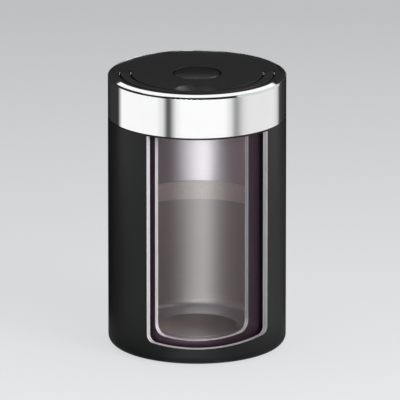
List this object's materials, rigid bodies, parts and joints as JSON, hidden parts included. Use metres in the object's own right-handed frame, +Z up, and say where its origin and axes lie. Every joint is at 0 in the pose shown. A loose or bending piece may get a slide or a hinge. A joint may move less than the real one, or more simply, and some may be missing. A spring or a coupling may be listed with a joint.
{
  "type": "insulated food jar",
  "caption": "Cutaway insulated food jar: black double-walled steel body with a front window, bright lid band, screw lid with folding handle and vent button.",
  "frame": {"origin": "centre of the foot, on the surface that the jar stands on", "axes": "+Z up along the jar's axis, -Y out of the front window, +X to the right seen from the front"},
  "size_m": [0.1, 0.1, 0.1569],
  "materials": {
    "black_coat": "satin",
    "steel": "satin",
    "copper": "satin",
    "solder": "satin",
    "chrome": "polished",
    "black_plastic": "satin",
    "black_gloss": "gloss",
    "grey_plastic": "matte",
    "silicone": "matte",
    "pad_rubber": "matte",
    "foam": "matte"
  },
  "bodies": {
    "jar": {"outer_shell": "black_coat", "vessel_tube": "steel", "vessel_floor": "steel", "copper_wrap": "copper", "bottom_closure": "steel", "evacuation_seal": "solder", "getter": "steel", "base_cover": "black_plastic", "base_pad": "pad_rubber"},
    "seal": {"lid_gasket": "silicone"},
    "lid": {"lid_band": "chrome", "lid_cover": "black_plastic", "lid_skirt": "black_plastic", "lid_liner": "grey_plastic", "lid_foam": "foam", "vent_bush": "grey_plastic", "handle_pins": "steel", "vent_spring": "steel"},
    "button": {"vent_button": "black_gloss", "vent_stem": "steel", "stem_clip": "steel", "valve_seal": "silicone"},
    "handle": {"handle": "black_plastic"}
  },
  "joints": [
    {"name": "lid_lift", "type": "slide", "parent": "jar", "child": "seal", "axis": [0, 0, 1], "range_m": [0, 0.03]},
    {"name": "lid_turn", "type": "hinge", "parent": "seal", "child": "lid", "pos_m": [0, 0, 0.15], "axis": [0, 0, 1], "range_deg": [0, 900]},
    {"name": "handle_fold", "type": "hinge", "parent": "lid", "child": "handle", "pos_m": [0, 0.0035, 0.155], "axis": [-1, 0, 0], "range_deg": [0, 90]},
    {"name": "button_press", "type": "slide", "parent": "lid", "child": "button", "axis": [0, 0, 1], "range_m": [-0.002, 0], "stiffness_N_per_m": 400, "springref_m": 0.003, "deforming": ["vent_spring"]}
  ],
  "couplings": [
    {"joint": "lid_lift", "follows": "lid_turn", "m_per_rad": 0.0019099}
  ]
}
